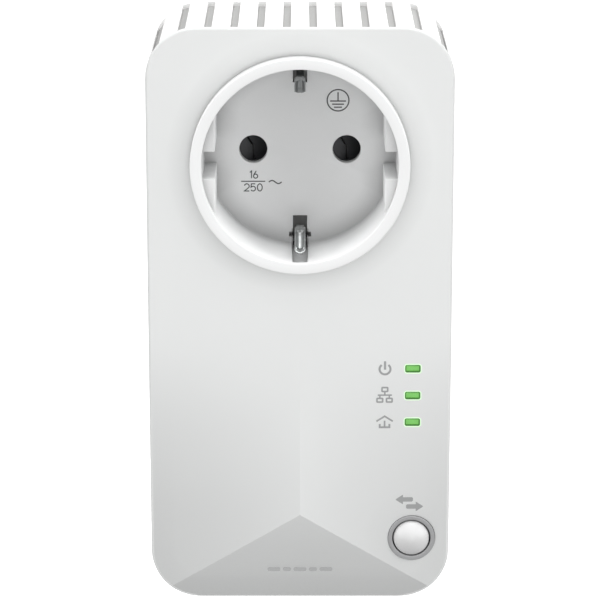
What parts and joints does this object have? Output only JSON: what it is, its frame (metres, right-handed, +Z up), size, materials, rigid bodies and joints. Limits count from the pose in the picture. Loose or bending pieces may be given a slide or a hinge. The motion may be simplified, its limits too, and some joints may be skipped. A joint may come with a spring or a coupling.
{
  "type": "powerline adapter",
  "caption": "Wall-plug powerline network adapter: upright casing with a round pass-through earthed socket, top vents, status windows, pairing button and a network port below.",
  "frame": {"origin": "midway between the two plug pins, on the plug body's contact face", "axes": "+Y into the wall along the plug pins, so the front faces -Y; +Z up along the casing's height; +X to the right seen from the front"},
  "size_m": [0.0612, 0.0725, 0.1195],
  "materials": {
    "cover_white": "fine satin moulding",
    "housing_white": "fine satin moulding",
    "inner_white": "matte moulding",
    "socket_white": "semi-gloss moulding",
    "carrier_grey": "matte moulding",
    "shutter_grey": "matte moulding",
    "spring_steel": "drawn wire",
    "contact_brass": "stamped sheet",
    "clip_steel": "nickel-plated stamped strip",
    "plug_white": "satin moulding",
    "pin_nickel": "nickel-plated, turned",
    "busbar_copper": "stamped sheet",
    "led_green": "translucent, lit green",
    "led_package": "moulded package",
    "bezel_grey": "satin grey",
    "button_white": "semi-gloss moulding",
    "switch_black": "matte moulding",
    "board_green": "solder mask",
    "chip_black": "moulded epoxy",
    "pad_blue": "soft silicone",
    "sink_aluminium": "extruded",
    "can_steel": "drawn can",
    "jack_steel": "tin-plated shell",
    "contact_gold": "gold-plated wire",
    "sheet_amber": "thin film",
    "board_tan": "phenolic laminate",
    "fuse_brown": "moulded",
    "varistor_blue": "dipped epoxy",
    "capacitor_yellow": "moulded case",
    "winding_copper": "enamelled wire",
    "capacitor_sleeve": "shrink sleeve",
    "tape_yellow": "wound tape over ferrite",
    "screw_steel": "zinc-plated"
  },
  "bodies": {
    "casing": {"front_cover": "cover_white", "rear_housing": "housing_white", "vent_baffle": "inner_white", "socket_insert": "socket_white", "contact_carrier": "carrier_grey", "shutter_spring": "spring_steel", "socket_contact_left": "contact_brass", "socket_contact_right": "contact_brass", "earth_bridge": "clip_steel", "plug_body": "plug_white", "plug_pin_left": "pin_nickel", "plug_pin_right": "pin_nickel", "plug_earth_contact_top": "clip_steel", "plug_earth_contact_bottom": "clip_steel", "earth_pin_sleeve": "contact_brass", "live_busbar": "busbar_copper", "neutral_busbar": "busbar_copper", "led_window_power": "led_green", "led_window_network": "led_green", "led_window_home": "led_green", "status_leds": "led_package", "button_bezel": "bezel_grey", "tact_switch_body": "switch_black", "main_board": "board_green", "plc_chip": "chip_black", "thermal_pad": "pad_blue", "heat_sink": "sink_aluminium", "memory_chip": "chip_black", "crystal": "can_steel", "network_transformer": "chip_black", "ethernet_jack": "jack_steel", "ethernet_contacts": "contact_gold", "board_header": "chip_black", "insulation_sheet": "sheet_amber", "power_board": "board_tan", "fuse": "fuse_brown", "varistor": "varistor_blue", "x_capacitor": "capacitor_yellow", "common_mode_choke": "winding_copper", "rectifier_bridge": "chip_black", "bulk_capacitor": "capacitor_sleeve", "flyback_transformer": "tape_yellow", "power_controller": "chip_black", "output_capacitor": "capacitor_sleeve", "coupling_transformer": "winding_copper", "housing_screws": "screw_steel", "board_screws": "screw_steel"},
    "pairing_button": {"pair_button": "button_white"},
    "switch_plunger": {"tact_switch_plunger": "switch_black"},
    "shutter": {"shutter_slider": "shutter_grey"},
    "earth_finger_top": {"earth_clip_top": "clip_steel"},
    "earth_finger_bottom": {"earth_clip_bottom": "clip_steel"}
  },
  "joints": [
    {"name": "button_press", "type": "slide", "parent": "casing", "child": "pairing_button", "axis": [0, 1, 0], "range_m": [0, 0.00035], "stiffness_N_per_m": 300},
    {"name": "plunger_press", "type": "slide", "parent": "casing", "child": "switch_plunger", "axis": [0, 1, 0], "range_m": [0, 0.00035], "stiffness_N_per_m": 100},
    {"name": "shutter_slide", "type": "slide", "parent": "casing", "child": "shutter", "axis": [-1, 0, 0], "range_m": [0, 0.0062], "stiffness_N_per_m": 120, "deforming": ["shutter_spring"]},
    {"name": "earth_finger_top_flex", "type": "hinge", "parent": "casing", "child": "earth_finger_top", "pos_m": [0, -0.0322, 0.0186], "axis": [-1, 0, 0], "range_deg": [0, 6], "stiffness_Nm_per_rad": 0.02},
    {"name": "earth_finger_bottom_flex", "type": "hinge", "parent": "casing", "child": "earth_finger_bottom", "pos_m": [0, -0.0322, -0.0186], "axis": [1, 0, 0], "range_deg": [0, 6], "stiffness_Nm_per_rad": 0.02}
  ],
  "couplings": [
    {"joint": "plunger_press", "follows": "button_press", "ratio": 1}
  ]
}
